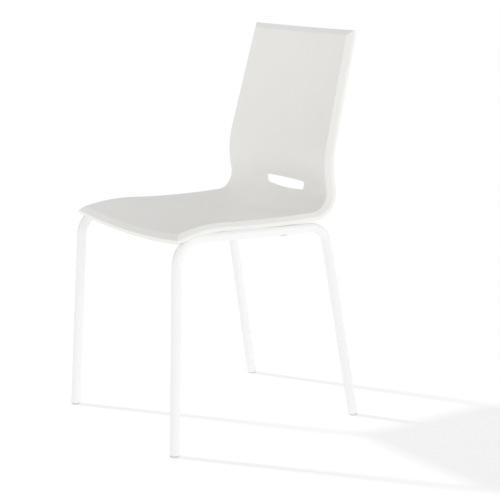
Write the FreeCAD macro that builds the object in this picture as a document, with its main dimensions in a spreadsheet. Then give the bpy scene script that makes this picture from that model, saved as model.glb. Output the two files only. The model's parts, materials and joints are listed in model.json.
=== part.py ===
import FreeCAD, Part
import math
import os
import Sketcher

# Stacking chair: one moulded shell on a welded frame of bent round tube.
# +Z is up, the sitter faces -Y, +X is the sitter's left.
# The origin is on the floor, in the middle of the chair's footprint.

V = FreeCAD.Vector
X_AXIS = V(1, 0, 0)
Z_AXIS = V(0, 0, 1)

doc = FreeCAD.newDocument("stacking_chair")
sheet = doc.addObject("Spreadsheet::Sheet", "Sizes")

# alias, value in millimetres or degrees, meaning
SIZES = [
    # side profile of the shell: its crease line, from the front edge to the top
    ("crease_front_y", -206.0, "front end of the crease line"),
    ("crease_front_height", 446.5, "height of the crease line at the front"),
    ("front_heading", 13.8, "rise of the seat at its front edge, degrees"),
    ("seat_fall", -3.7, "slope of the seat behind the front roll, degrees"),
    ("seat_rise", 2.3, "slope of the seat where the bend starts, degrees"),
    ("lumbar_heading", 102.8, "heading where the bend meets the lumbar, degrees"),
    ("back_heading", 75.6, "heading of the straight back, degrees"),
    ("front_roll_radius", 376, "radius of the front roll"),
    ("seat_radius", 2110, "radius of the seat's long hollow"),
    ("bend_radius", 37.4, "radius of the seat to back bend"),
    ("lumbar_radius", 205, "radius of the lumbar curve"),
    ("back_length", 227, "straight length of the upper back"),
    # widths and hollows across the shell
    ("seat_half_width", 179.5, "half width between the crease lines"),
    ("front_flare", 11.5, "growth of the half width at the front edge"),
    ("flare_length", 200, "length of seat over which it flares"),
    ("top_narrowing", 13, "loss of half width at the top"),
    ("seat_hollow", 12, "depth of the seat's hollow across the chair"),
    ("bend_hollow", 25, "depth of the hollow at the bend"),
    ("top_hollow", 7, "depth of the hollow at the top edge"),
    # edge of the shell
    ("skin", 5, "thickness of the shell"),
    ("bevel_width", 12.3, "width of the bevel outside the crease"),
    ("bevel_depth", 7.4, "depth of the bevel"),
    ("edge_depth", 16, "whole depth of the turned-back edge"),
    ("edge_bulge", 1.2, "outward crown of the edge"),
    ("lip", 5, "thickness of the turned-back lip at the sides"),
    ("end_lip", 9, "thickness of the turned-back lip at the front and the top"),
    ("lip_inset", 1.4, "step in from the crease to the skin's inner corner"),
    # hand slot in the back
    ("slot_top_half", 70.5, "half width of the slot's upper edge"),
    ("slot_bottom_half", 66.5, "half width of the slot's lower edge"),
    ("slot_bottom_height", 481, "height of the slot's lower edge"),
    ("slot_top_height", 498.5, "height of the slot's upper edge"),
    ("slot_sag", 5, "dip of the slot's lower edge in the middle"),
    ("slot_corner", 4, "rounding of the slot's corners"),
    ("slot_plane_y", 150, "start of the cut in front of the back"),
    ("slot_cut_length", 90, "length of the cut through the back"),
    # side frames: an inverted U of tube in a leaning plane
    ("tube_diameter", 20, "outside of the frame tube"),
    ("tube_wall", 2, "wall of the frame tube"),
    ("front_foot_x", 210.9, "front leg's axis at the floor, from the middle"),
    ("rear_foot_x", 194.5, "rear leg's axis at the floor, from the middle"),
    ("foot_half_spacing", 231.2, "half distance along Y between the leg axes at the floor"),
    ("frame_lean", 2.01, "inward lean of each side frame, degrees"),
    ("front_corner_run", 20, "front corner of the U, behind the front foot"),
    ("front_corner_height", 435, "front corner of the U, above the floor along the frame"),
    ("rear_corner_run", 388.2, "rear corner of the U, behind the front foot"),
    ("rear_corner_height", 422, "rear corner of the U, above the floor along the frame"),
    ("front_bend", 52, "centreline radius of the front bend"),
    ("rear_bend", 46, "centreline radius of the rear bend"),
    # cross tubes
    ("cross_diameter", 14, "outside of the cross tubes"),
    ("cross_wall", 1.5, "wall of the cross tubes"),
    ("front_cross_y", -122, "place of the front cross tube"),
    ("front_cross_drop", 0.8, "axis of the front cross tube, below the rail's axis"),
    ("rear_cross_y", 75, "place of the rear cross tube"),
    ("rear_cross_drop", 1.0, "axis of the rear cross tube, below the rail's axis"),
    # tabs and fastenings
    ("front_tab_y", -84, "place of the front tabs"),
    ("rear_tab_y", 26, "place of the rear tabs"),
    ("tab_thickness", 3, "plate of the tabs"),
    ("tab_width", 30, "tab along the rail"),
    ("tab_inner_x", 138, "inner end of the tabs"),
    ("tab_lift", 4.5, "underside of the tabs above the rail's axis"),
    ("screw_x", 153, "screws from the middle"),
    ("screw_diameter", 6, "thread"),
    ("screw_hole", 6.6, "clearance hole in the tabs"),
    ("screw_length", 12, "under the head"),
    ("screw_head_diameter", 11, "pan head"),
    ("screw_head_height", 3.6, "pan head"),
    ("hex_socket", 4, "key size of the screws, across flats"),
    ("socket_depth", 2.2, "depth of the key socket"),
    ("washer_diameter", 14, "outside of the washers"),
    ("washer_thickness", 1.2, "thickness of the washers"),
    ("insert_diameter", 9, "outside of the threaded inserts"),
    ("insert_length", 8.5, "length of the threaded inserts"),
    ("boss_diameter", 19, "bosses under the shell"),
    ("boss_height", 11, "bosses from the tab into the skin"),
    ("rail_relief", 0.4, "clearance between the shell's edge and the rails"),
    ("cope_start_y", -178, "front end of the bar that copes the cross tubes and tabs"),
    ("cope_length", 360, "length of the bar that copes the cross tubes and tabs"),
    # glides and buffers
    ("glide_height", 4, "glide below the end of the tube, along the leg"),
    ("glide_plug_length", 22, "plug inside the tube"),
    ("glide_plug_gap", 0.15, "clearance round the plug"),
    ("glide_head_inset", 0.5, "glide's head inside the tube's outline, per side"),
    ("sole_cut", 60, "block below the floor that cuts each sole flat"),
    ("buffer_y", 50, "place of the stacking buffers"),
    ("buffer_length", 13, "along the rail"),
    ("buffer_width", 11, "across the rail"),
    ("buffer_proud", 2.2, "below the tube"),
    ("buffer_wrap", 3, "height of the pad's sides up the tube"),
    ("buffer_stem", 5, "diameter of the push-in stem"),
    ("buffer_stem_length", 9, "stem above the bottom of the tube"),
    ("stem_overlap", 1, "stem inside the pad"),
]
for row, (alias, value, meaning) in enumerate(SIZES, start=1):
    sheet.set(f"A{row}", meaning)
    sheet.set(f"B{row}", str(value))
    sheet.setAlias(f"B{row}", alias)
doc.recompute()
size = {alias: float(sheet.get(alias)) for alias, value, meaning in SIZES}

parts = {}


def ease(t):
    """Smooth step from 0 to 1."""
    t = min(max(t, 0.0), 1.0)
    return t * t * (3 - 2 * t)


def origin_plane(body, role):
    for feature in body.Origin.OriginFeatures:
        if feature.Role == role:
            return feature
    raise ValueError(role)


def new_body(name):
    body = doc.addObject("PartDesign::Body", name)
    body.Label = name
    parts[name] = body
    return body


def new_sketch(body, name, role, offset=None):
    sketch = body.newObject("Sketcher::SketchObject", name)
    sketch.AttachmentSupport = [(origin_plane(body, role), "")]
    sketch.MapMode = "FlatFace"
    if offset is not None:
        sketch.AttachmentOffset = offset
    return sketch


class Outline:
    """Collects a sketch's edges and constraints, and solves them together."""

    def __init__(self, sketch):
        self.sketch = sketch
        self.constraints = []
        self.expressions = {}

    def line(self, start, end):
        return self.sketch.addGeometry(Part.LineSegment(V(*start, 0), V(*end, 0)))

    def arc(self, start, middle, end):
        """Arc through three points, given counter-clockwise."""
        return self.sketch.addGeometry(Part.Arc(V(*start, 0), V(*middle, 0), V(*end, 0)))

    def add(self, *constraint):
        self.constraints.append(Sketcher.Constraint(*constraint))

    def size(self, kind, *where, to):
        """Dimension bound to an expression on the sheet."""
        self.expressions[len(self.constraints)] = to
        value = float(self.sketch.evalExpression(to))
        self.constraints.append(Sketcher.Constraint(kind, *where, value))

    def place(self, index, position, x, y):
        """Fix a point at given distances from the sketch's origin."""
        self.add("DistanceX", -1, 1, index, position, x)
        self.add("DistanceY", -1, 1, index, position, y)

    def circle(self, x, y, diameter):
        index = self.sketch.addGeometry(Part.Circle(V(x, y, 0), Z_AXIS, size[diameter] / 2))
        self.place(index, 3, x, y)
        self.size("Diameter", index, to=f"Sizes.{diameter}")
        return index

    def finish(self, join=True):
        """Join the ends that meet, then apply every constraint."""
        ends = []
        for index, edge in enumerate(self.sketch.Geometry):
            if join and hasattr(edge, "StartPoint"):
                ends += [(index, 1, edge.StartPoint), (index, 2, edge.EndPoint)]
        for number, (index, position, point) in enumerate(ends):
            for other, other_position, other_point in ends[number + 1:]:
                if other != index and point.distanceToPoint(other_point) < 1e-6:
                    self.add("Coincident", index, position, other, other_position)
        self.sketch.addConstraint(self.constraints)
        for index, expression in self.expressions.items():
            self.sketch.setExpression(f"Constraints[{index}]", expression)
        return self.sketch


# ---------------------------------------------------------------- shell: the crease line

HEADINGS = ["front_heading", "seat_fall", "seat_rise", "lumbar_heading", "back_heading"]
RADII = ["front_roll_radius", "seat_radius", "bend_radius", "lumbar_radius"]


def crease_segments():
    """The arcs of the crease line: start distance, length, start point, headings and radius."""
    y, z, distance = size["crease_front_y"], size["crease_front_height"], 0.0
    segments = []
    for name, first, last in zip(RADII, HEADINGS, HEADINGS[1:]):
        start, end = math.radians(size[first]), math.radians(size[last])
        radius = math.copysign(size[name], end - start)
        length = radius * (end - start)
        segments.append((distance, length, y, z, start, radius))
        y += radius * (math.sin(end) - math.sin(start))
        z -= radius * (math.cos(end) - math.cos(start))
        distance += length
    segments.append((distance, size["back_length"], y, z, math.radians(size["back_heading"]), None))
    return segments


SEGMENTS = crease_segments()
CREASE_LENGTH = SEGMENTS[-1][0] + SEGMENTS[-1][1]
DEEPEST_SHARE = 0.85   # how far round the bend the hollow is deepest
BEND_MIDDLE = SEGMENTS[2][0] + DEEPEST_SHARE * SEGMENTS[2][1]
LUMBAR_MIDDLE = SEGMENTS[3][0] + SEGMENTS[3][1] / 2
HOLLOW_RUN = 150.0     # length of seat over which the hollow deepens towards the bend
HOLLOW_MARGIN = 8.0    # how far the hollow's cut reaches behind the shell
CUTTER_MARGIN = 40.0   # how far the bevel cutters reach outside the shell
CUTTER_RUN = 8.0       # how far they run on past the bevel at both ends
FIRST = -size["bevel_width"]
LAST = CREASE_LENGTH + size["bevel_width"]
STATIONS = [3, 4, 8, 4, 3]   # sections along each arc of the crease line


def crease_at(distance):
    """Point (y, z) and heading of the crease line; both ends run on straight."""
    start, length, y, z, heading, radius = SEGMENTS[0]
    if distance > 0:
        start, length, y, z, heading, radius = [s for s in SEGMENTS if s[0] <= distance][-1]
    along = distance - start
    if radius is None or distance < 0:
        return y + along * math.cos(heading), z + along * math.sin(heading), heading
    end = heading + along / radius
    y += radius * (math.sin(end) - math.sin(heading))
    z -= radius * (math.cos(end) - math.cos(heading))
    return y, z, end


def half_width_terms(distance):
    """Shares of the front flare and of the top narrowing at this distance."""
    flare = max(0.0, 1 - distance / size["flare_length"]) ** 2
    narrowing = max(0.0, (distance - LUMBAR_MIDDLE) / (CREASE_LENGTH - LUMBAR_MIDDLE))
    return flare, narrowing


def hollow_shares(distance):
    """Shares of the seat's, the bend's and the top's hollow at this distance."""
    if distance < BEND_MIDDLE:
        bend = ease((distance - BEND_MIDDLE + HOLLOW_RUN) / HOLLOW_RUN)
        return 1 - bend, bend, 0.0
    top = (distance - BEND_MIDDLE) / (CREASE_LENGTH - BEND_MIDDLE)
    return 0.0, 1 - top, top


def half_width_expression(distance):
    flare, narrowing = half_width_terms(distance)
    return (f"Sizes.seat_half_width + Sizes.front_flare * {flare:.4f}"
            f" - Sizes.top_narrowing * {narrowing:.4f}")


def hollow_expression(distance):
    seat, bend, top = hollow_shares(distance)
    return (f"(Sizes.seat_hollow * {seat:.4f} + Sizes.bend_hollow * {bend:.4f}"
            f" + Sizes.top_hollow * {top:.4f})")


def half_width_at(distance):
    flare, narrowing = half_width_terms(distance)
    return size["seat_half_width"] + size["front_flare"] * flare - size["top_narrowing"] * narrowing


def hollow_at(distance):
    seat, bend, top = hollow_shares(distance)
    return size["seat_hollow"] * seat + size["bend_hollow"] * bend + size["top_hollow"] * top


def section_plane(distance):
    """Placement of the plane across the shell: x is across, y goes into the shell's depth."""
    y, z, heading = crease_at(distance)
    return FreeCAD.Placement(V(0, y, z), FreeCAD.Rotation(X_AXIS, math.degrees(heading) - 90))


def face_arc(out, distance):
    """The hollow line across the face, from the right crease to the left one."""
    half, deep = half_width_at(distance), hollow_at(distance)
    wide, hollow = half_width_expression(distance), hollow_expression(distance)
    face = out.arc((half, 0), (0, deep), (-half, 0))
    out.add("Symmetric", face, 1, face, 2, -2)
    out.size("DistanceX", -1, 1, face, 1, to=wide)
    out.size("Radius", face, to=f"(({wide}) ^ 2 + {hollow} ^ 2) / (2 * {hollow})")
    return face


def outer_section(body, name, distance):
    """Closed section with no hollow: face, bevels, crowned edges and a back along the face."""
    out = Outline(new_sketch(body, name, "XY_Plane", section_plane(distance)))
    half, deep = half_width_at(distance), hollow_at(distance)
    bevel, depth = size["bevel_depth"], size["edge_depth"]
    outer = half + size["bevel_width"]
    crown = (outer + size["edge_bulge"], (bevel + depth) / 2)
    face = face_arc(out, distance)
    out.add("PointOnObject", face, 1, -1)
    for sign in (1, -1):
        slope = out.line((sign * half, 0), (sign * outer, bevel))
        rise = [(sign * outer, bevel), (sign * crown[0], crown[1]), (sign * outer, depth)]
        edge = out.arc(*rise[::sign])
        low, high = (1, 2)[::sign]
        inside, outside = (1, 2)[::sign]
        out.size("DistanceX", slope, inside, slope, outside, to="Sizes.bevel_width")
        out.size("DistanceY", slope, 1, slope, 2, to="Sizes.bevel_depth")
        out.size("DistanceY", edge, low, edge, high, to="Sizes.edge_depth - Sizes.bevel_depth")
        out.add("Vertical", edge, low, edge, high)
        out.size("Radius", edge, to="(((Sizes.edge_depth - Sizes.bevel_depth) / 2) ^ 2"
                                    " + Sizes.edge_bulge ^ 2) / (2 * Sizes.edge_bulge)")
    back = out.arc((outer, depth), (0, deep + depth), (-outer, depth))
    outside = f"({half_width_expression(distance)} + Sizes.bevel_width)"
    hollow = hollow_expression(distance)
    out.size("Radius", back, to=f"({outside} ^ 2 + {hollow} ^ 2) / (2 * {hollow})")
    return out.finish()


def hollow_section(body, name, distance):
    """Section of the space behind the skin, between the turned-back lips."""
    out = Outline(new_sketch(body, name, "XY_Plane", section_plane(distance)))
    half, deep, skin = half_width_at(distance), hollow_at(distance), size["skin"]
    wide, hollow = half_width_expression(distance), hollow_expression(distance)
    inner = half + size["bevel_width"] - size["lip"]
    open_depth = size["edge_depth"] + size["bend_hollow"] + HOLLOW_MARGIN
    radius = (half ** 2 + deep ** 2) / (2 * deep)
    corner_x = half - size["lip_inset"]
    corner_y = deep - radius + math.sqrt((radius + skin) ** 2 - corner_x ** 2)
    under_y = corner_y + (inner - corner_x) * size["bevel_depth"] / size["bevel_width"]
    back = out.arc((corner_x, corner_y), (0, deep + skin), (-corner_x, corner_y))
    out.add("PointOnObject", back, 3, -2)
    out.size("Radius", back, to=f"(({wide}) ^ 2 + {hollow} ^ 2) / (2 * {hollow}) + Sizes.skin")
    out.size("DistanceX", -1, 1, back, 1, to=f"{wide} - Sizes.lip_inset")
    out.size("DistanceY", -1, 1, back, 3, to=f"{hollow} - (({wide}) ^ 2 + {hollow} ^ 2) / (2 * {hollow})")
    out.add("Symmetric", back, 1, back, 2, -2)
    rim = [(corner_x, corner_y), (inner, under_y), (inner, open_depth),
           (-inner, open_depth), (-inner, under_y), (-corner_x, corner_y)]
    for start, end in zip(rim, rim[1:]):
        out.line(start, end)
    return out.finish()


def bevel_cutter_section(body, name, distance, out_from_crease, lift):
    """Section of the cut that bevels an end: in front of a hollow line as wide as the mitre there."""
    out = Outline(new_sketch(body, name, "XY_Plane", section_plane(distance)))
    half, deep = half_width_at(distance) + out_from_crease, hollow_at(distance)
    wide = half + CUTTER_MARGIN
    out.arc((half, lift), (0, lift + deep), (-half, lift))
    ends = [(-half, lift), (-wide, lift), (-wide, -CUTTER_MARGIN), (wide, -CUTTER_MARGIN),
            (wide, lift), (half, lift)]
    for start, end in zip(ends, ends[1:]):
        out.line(start, end)
    return out.finish()


def bevel_end(body, name, end, inward):
    """Bevel the shell's front or top edge, mitred with the side bevels."""
    slope = size["bevel_depth"] / size["bevel_width"]
    runs = {"inner": -CUTTER_RUN, "outer": size["bevel_width"] + CUTTER_RUN}
    crease = end + inward * size["bevel_width"]
    sections = [bevel_cutter_section(body, f"{name}_{side}", crease - inward * run, run, run * slope)
                for side, run in runs.items()]
    cut = body.newObject("PartDesign::SubtractiveLoft", name)
    cut.Profile = sections[0]
    cut.Sections = [(sections[1], "")]
    cut.Ruled = True
    body.Tip = cut
    return cut


def section_distances(margin):
    """Stations along the shell, closer together where it bends more, up to a margin at both ends."""
    stations = [FIRST + margin]
    for (start, length, *_), count in zip(SEGMENTS, STATIONS):
        stations += [start + length * step / count for step in range(count)]
    return stations + [CREASE_LENGTH, LAST - margin]


def add_loft(body, name, kind, section, margin):
    """Loft through sections at every station."""
    sections = [section(body, f"{name}_{number}", distance)
                for number, distance in enumerate(section_distances(margin))]
    loft = body.newObject(kind, name)
    loft.Profile = sections[0]
    loft.Sections = [(each, "") for each in sections[1:]]
    body.Tip = loft
    return loft


def add_pad(body, name, sketch, length):
    pad = body.newObject("PartDesign::Pad", name)
    pad.Profile = sketch
    pad.setExpression("Length", length)
    body.Tip = pad
    return pad


def add_pocket(body, name, sketch, length, along_normal=True):
    """Cut away from the sketch; a pocket runs against its sketch's normal unless reversed."""
    pocket = body.newObject("PartDesign::Pocket", name)
    pocket.Profile = sketch
    pocket.setExpression("Length", length)
    pocket.Reversed = along_normal
    body.Tip = pocket
    return pocket


def circles_sketch(body, name, plane, centres, diameter):
    out = Outline(new_sketch(body, name, "XY_Plane", plane))
    for x, y in centres:
        out.circle(x, y, diameter)
    return out.finish()


def rounded_corner(before, corner, after, radius):
    """Start, middle and end of the arc that rounds a corner of an outline."""
    here = V(*corner, 0)
    back, on = (V(*before, 0) - here).normalize(), (V(*after, 0) - here).normalize()
    half_angle = back.getAngle(on) / 2
    reach = radius / math.tan(half_angle)
    middle = here + (back + on).normalize() * (radius / math.sin(half_angle) - radius)
    return [(p.x, p.y) for p in (here + back * reach, middle, here + on * reach)]


def slot_sketch(body):
    """Hand slot seen from the front: straight top, round corners and a bottom edge that dips."""
    plane = FreeCAD.Placement(V(0, 0, -size["slot_plane_y"]), FreeCAD.Rotation())
    out = Outline(new_sketch(body, "slot_outline", "XZ_Plane", plane))
    dip = size["slot_bottom_height"] - size["slot_sag"]
    top_corner = (size["slot_top_half"], size["slot_top_height"])
    bottom_corner = (size["slot_bottom_half"], size["slot_bottom_height"])
    bottom = rounded_corner((0, dip - size["slot_sag"]), bottom_corner, top_corner, size["slot_corner"])
    top = rounded_corner(bottom_corner, top_corner, (0, size["slot_top_height"]), size["slot_corner"])
    mirrored = [[(-x, y) for x, y in reversed(bend)] for bend in (top, bottom)]
    bends = [bottom, top] + mirrored
    for bend in bends:
        rounding = out.arc(*bend)
        centre = out.sketch.Geometry[rounding].Center
        out.place(rounding, 3, centre.x, centre.y)
        out.size("Radius", rounding, to="Sizes.slot_corner")
    for bend, following in zip(bends, bends[1:]):
        out.line(bend[2], following[0])
    out.arc(bends[-1][2], (0, dip), bends[0][0])
    return out.finish()


def make_shell():
    """Moulded seat and back in one: lofted skin, turned-back edge all round, slot and bosses."""
    body = new_body("seat_shell")
    add_loft(body, "outside", "PartDesign::AdditiveLoft", outer_section, 0)
    add_loft(body, "hollow", "PartDesign::SubtractiveLoft", hollow_section, size["end_lip"])
    bevel_end(body, "front_bevel", FIRST, 1)
    bevel_end(body, "top_bevel", LAST, -1)
    add_pocket(body, "hand_slot", slot_sketch(body), "Sizes.slot_cut_length", along_normal=False)

    for end in ("front", "rear"):
        at_tab = FreeCAD.Placement(V(0, 0, tab_top(end)), FreeCAD.Rotation())
        centres = [(side * size["screw_x"], size[f"{end}_tab_y"]) for side in (1, -1)]
        bosses = circles_sketch(body, f"{end}_boss_outline", at_tab, centres, "boss_diameter")
        add_pad(body, f"{end}_bosses", bosses, "Sizes.boss_height")
        bores = circles_sketch(body, f"{end}_bore_outline", at_tab, centres, "insert_diameter")
        add_pocket(body, f"{end}_insert_bores", bores, "Sizes.insert_length")
    for name, side in SIDES.items():
        path = frame_path(body, f"{name}_relief_path", frame_placement(side))
        round_bar = Outline(new_sketch(body, f"{name}_relief_outline", "XY_Plane", leg_end_plane(side)))
        bar = round_bar.sketch.addGeometry(Part.Circle(V(0, 0, 0), Z_AXIS, size["tube_diameter"] / 2))
        round_bar.place(bar, 3, 0, 0)
        round_bar.size("Diameter", bar, to="Sizes.tube_diameter + 2 * Sizes.rail_relief")
        relief = body.newObject("PartDesign::SubtractivePipe", f"{name}_rail_relief")
        relief.Profile = round_bar.finish()
        relief.Spine = (path, [])
        body.Tip = relief
    return body


# ---------------------------------------------------------------- side frames: place and rail line

SIDES = {"left": 1, "right": -1}


def frame_placement(side):
    """Plane of one side frame: x runs back along the floor, z up the leaning frame."""
    toe = size["rear_foot_x"] - size["front_foot_x"]
    back = V(side * toe, 2 * size["foot_half_spacing"], 0).normalize()
    lean = math.radians(size["frame_lean"])
    up = V(-side * math.sin(lean), 0, math.cos(lean))
    up = (up - back * up.dot(back)).normalize()
    origin = V(side * size["front_foot_x"], -size["foot_half_spacing"], 0)
    return FreeCAD.Placement(origin, FreeCAD.Rotation(back, up.cross(back), up, "XZY"))


FLOOR_SPACING = math.hypot(size["rear_foot_x"] - size["front_foot_x"], 2 * size["foot_half_spacing"])
FRAME_CORNERS = [(0.0, 0.0), (size["front_corner_run"], size["front_corner_height"]),
                 (size["rear_corner_run"], size["rear_corner_height"]), (FLOOR_SPACING, 0.0)]


def frame_point(side, run, height):
    return frame_placement(side).multVec(V(run, 0, height))


def rail_direction(side):
    start = frame_point(side, *FRAME_CORNERS[1])
    return (frame_point(side, *FRAME_CORNERS[2]) - start).normalize()


def rail_point(side, y):
    """Point of the rail's axis at this y."""
    start, direction = frame_point(side, *FRAME_CORNERS[1]), rail_direction(side)
    return start + direction * ((y - start.y) / direction.y)


def tab_top(end):
    """Height of the tabs' upper face, at the front or the rear pair."""
    return rail_point(1, size[f"{end}_tab_y"]).z + size["tab_lift"] + size["tab_thickness"]


# ---------------------------------------------------------------- side frames: bent tube

def glide_seat(corner, foot):
    """End of the tube above its glide, in the plane of the frame."""
    rise = V(corner[0] - foot[0], 0, corner[1] - foot[1]).normalize()
    return foot[0] + rise.x * size["glide_height"], foot[1] + rise.z * size["glide_height"]


def frame_path(body, name, placement):
    """Centreline of a side frame: front leg, front bend, rail, rear bend and rear leg."""
    front, rear = FRAME_CORNERS[1], FRAME_CORNERS[2]
    start = glide_seat(front, FRAME_CORNERS[0])
    end = glide_seat(rear, FRAME_CORNERS[3])
    front_bend = rounded_corner(start, front, rear, size["front_bend"])
    rear_bend = rounded_corner(front, rear, end, size["rear_bend"])
    upright = FreeCAD.Placement(V(0, 0, 0), FreeCAD.Rotation(X_AXIS, 90))
    path = Outline(new_sketch(body, name, "XY_Plane", placement * upright))
    path.line(start, front_bend[0])
    path.arc(*front_bend[::-1])
    path.line(front_bend[2], rear_bend[0])
    path.arc(*rear_bend[::-1])
    path.line(rear_bend[2], end)
    path.place(0, 1, *start)
    path.place(4, 2, *end)
    path.place(2, 1, *front_bend[2])
    path.place(2, 2, *rear_bend[0])
    path.size("Radius", 1, to="Sizes.front_bend")
    path.size("Radius", 3, to="Sizes.rear_bend")
    for joint in ((0, 2, 1, 2), (1, 1, 2, 1), (2, 2, 3, 2), (3, 1, 4, 1)):
        path.add("Tangent", *joint)
    return path.finish(join=False)


def leg_end_plane(side=None):
    """Plane across the front leg where it meets its glide, in the chair or in its frame."""
    start = glide_seat(FRAME_CORNERS[1], FRAME_CORNERS[0])
    rake = math.degrees(math.atan2(*FRAME_CORNERS[1]))
    across = FreeCAD.Placement(V(start[0], 0, start[1]), FreeCAD.Rotation(V(0, 1, 0), rake))
    return frame_placement(side) * across if side else across


def make_leg_frame(name, side):
    """Front leg, rail and rear leg: one round tube bent to an inverted U."""
    body = new_body(name)
    path = frame_path(body, f"{name}_path", FreeCAD.Placement())
    ring = Outline(new_sketch(body, f"{name}_section", "XY_Plane", leg_end_plane()))
    ring.circle(0, 0, "tube_diameter")
    bore_radius = size["tube_diameter"] / 2 - size["tube_wall"]
    bore = ring.sketch.addGeometry(Part.Circle(V(0, 0, 0), Z_AXIS, bore_radius))
    ring.place(bore, 3, 0, 0)
    ring.size("Diameter", bore, to="Sizes.tube_diameter - 2 * Sizes.tube_wall")
    pipe = body.newObject("PartDesign::AdditivePipe", f"{name}_tube")
    pipe.Profile = ring.finish()
    pipe.Spine = (path, [])
    body.Tip = pipe

    along = rail_run(size["buffer_y"])
    below = FreeCAD.Placement(V(along[0], 0, along[1] - size["tube_diameter"]), FreeCAD.Rotation())
    stem = circles_sketch(body, f"{name}_stem_hole_outline", below, [(0, 0)], "buffer_stem")
    add_pocket(body, f"{name}_stem_hole", stem, "Sizes.tube_diameter")
    body.Placement = frame_placement(side)
    return body


def rail_run(y):
    """Point of the rail's axis at this y, in the plane of the left frame."""
    local = frame_placement(1).inverse().multVec(rail_point(1, y))
    return local.x, local.z


# ---------------------------------------------------------------- solids from primitives

def cylinder(name, radius, height, base, direction):
    """Cylinder bound to the sheet: radius and height are expressions."""
    solid = doc.addObject("Part::Cylinder", name)
    solid.setExpression("Radius", radius)
    solid.setExpression("Height", height)
    solid.Placement = FreeCAD.Placement(base, FreeCAD.Rotation(Z_AXIS, direction))
    return solid


def cut(name, base, tool):
    result = doc.addObject("Part::Cut", name)
    result.Base = base
    result.Tool = tool
    return result


def fuse(name, solids):
    result = doc.addObject("Part::MultiFuse", name)
    result.Shapes = solids
    return result


def keep(name, result):
    """Name a finished sub-part."""
    result.Label = name
    parts[name] = result
    return result


def rail_cope(name, side):
    """Cylinder along the whole straight rail, which copes what is welded to it."""
    start = rail_point(side, size["cope_start_y"])
    return cylinder(name, "Sizes.tube_diameter / 2", "Sizes.cope_length", start, rail_direction(side))


def make_cross_tube(name, end):
    """Tube between the rails, coped to them at both ends."""
    place = rail_point(1, size[f"{end}_cross_y"])
    height = place.z - size[f"{end}_cross_drop"]
    start = V(-place.x, place.y, height)
    span = f"{2 * place.x}"
    outside = cylinder(f"{name}_outside", "Sizes.cross_diameter / 2", span, start, X_AXIS)
    inside = cylinder(f"{name}_inside", "Sizes.cross_diameter / 2 - Sizes.cross_wall", span, start, X_AXIS)
    tube = cut(f"{name}_tube", outside, inside)
    for side_name, side in SIDES.items():
        tube = cut(f"{name}_{side_name}_cope", tube, rail_cope(f"{name}_{side_name}_rail", side))
    return keep(name, tube)


def make_tab(name, end, side):
    """Flat plate welded to the inside of the rail, with a hole for one seat screw."""
    plate = doc.addObject("Part::Box", f"{name}_plate")
    rail = rail_point(side, size[f"{end}_tab_y"])
    plate.setExpression("Length", f"{abs(rail.x)} - Sizes.tab_inner_x")
    plate.setExpression("Width", "Sizes.tab_width")
    plate.setExpression("Height", "Sizes.tab_thickness")
    left = size["tab_inner_x"] if side > 0 else -abs(rail.x)
    bottom = tab_top(end) - size["tab_thickness"]
    plate.Placement.Base = V(left, size[f"{end}_tab_y"] - size["tab_width"] / 2, bottom)
    hole = cylinder(f"{name}_hole", "Sizes.screw_hole / 2", "Sizes.tab_thickness",
                    V(side * size["screw_x"], size[f"{end}_tab_y"], bottom), Z_AXIS)
    drilled = cut(f"{name}_drilled", plate, hole)
    return keep(name, cut(f"{name}_coped", drilled, rail_cope(f"{name}_rail", side)))


def screw_places():
    """Axis of every seat screw, at the height of its tab's upper face."""
    return [(f"{end}_{name}", V(side * size["screw_x"], size[f"{end}_tab_y"], tab_top(end)))
            for end in ("front", "rear") for name, side in SIDES.items()]


def make_screw(place, spot):
    """Pan-head screw with a hexagon socket, driven up through the tab into the shell."""
    under_head = spot - Z_AXIS * (size["tab_thickness"] + size["washer_thickness"])
    head_base = under_head - Z_AXIS * size["screw_head_height"]
    shank = cylinder(f"{place}_shank", "Sizes.screw_diameter / 2", "Sizes.screw_length", under_head, Z_AXIS)
    head = cylinder(f"{place}_head", "Sizes.screw_head_diameter / 2", "Sizes.screw_head_height",
                    head_base, Z_AXIS)
    socket = doc.addObject("Part::Prism", f"{place}_socket")
    socket.Polygon = 6
    socket.setExpression("Circumradius", "Sizes.hex_socket / sqrt(3)")
    socket.setExpression("Height", "Sizes.socket_depth")
    socket.Placement.Base = head_base
    return cut(f"{place}_screw", fuse(f"{place}_screw_blank", [shank, head]), socket)


def make_washer(place, spot):
    base = spot - Z_AXIS * (size["tab_thickness"] + size["washer_thickness"])
    disc = cylinder(f"{place}_disc", "Sizes.washer_diameter / 2", "Sizes.washer_thickness", base, Z_AXIS)
    hole = cylinder(f"{place}_washer_hole", "Sizes.screw_hole / 2", "Sizes.washer_thickness", base, Z_AXIS)
    return cut(f"{place}_washer", disc, hole)


def make_insert(place, spot):
    """Threaded sleeve moulded into a boss of the shell."""
    sleeve = cylinder(f"{place}_sleeve", "Sizes.insert_diameter / 2", "Sizes.insert_length", spot, Z_AXIS)
    thread = cylinder(f"{place}_thread", "Sizes.screw_diameter / 2", "Sizes.insert_length", spot, Z_AXIS)
    return cut(f"{place}_insert", sleeve, thread)


def keep_group(name, solids):
    """Identical fasteners kept together as one sub-part of separate solids."""
    group = doc.addObject("Part::Compound", name)
    group.Links = solids
    return keep(name, group)


# ---------------------------------------------------------------- glides and buffers

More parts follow.
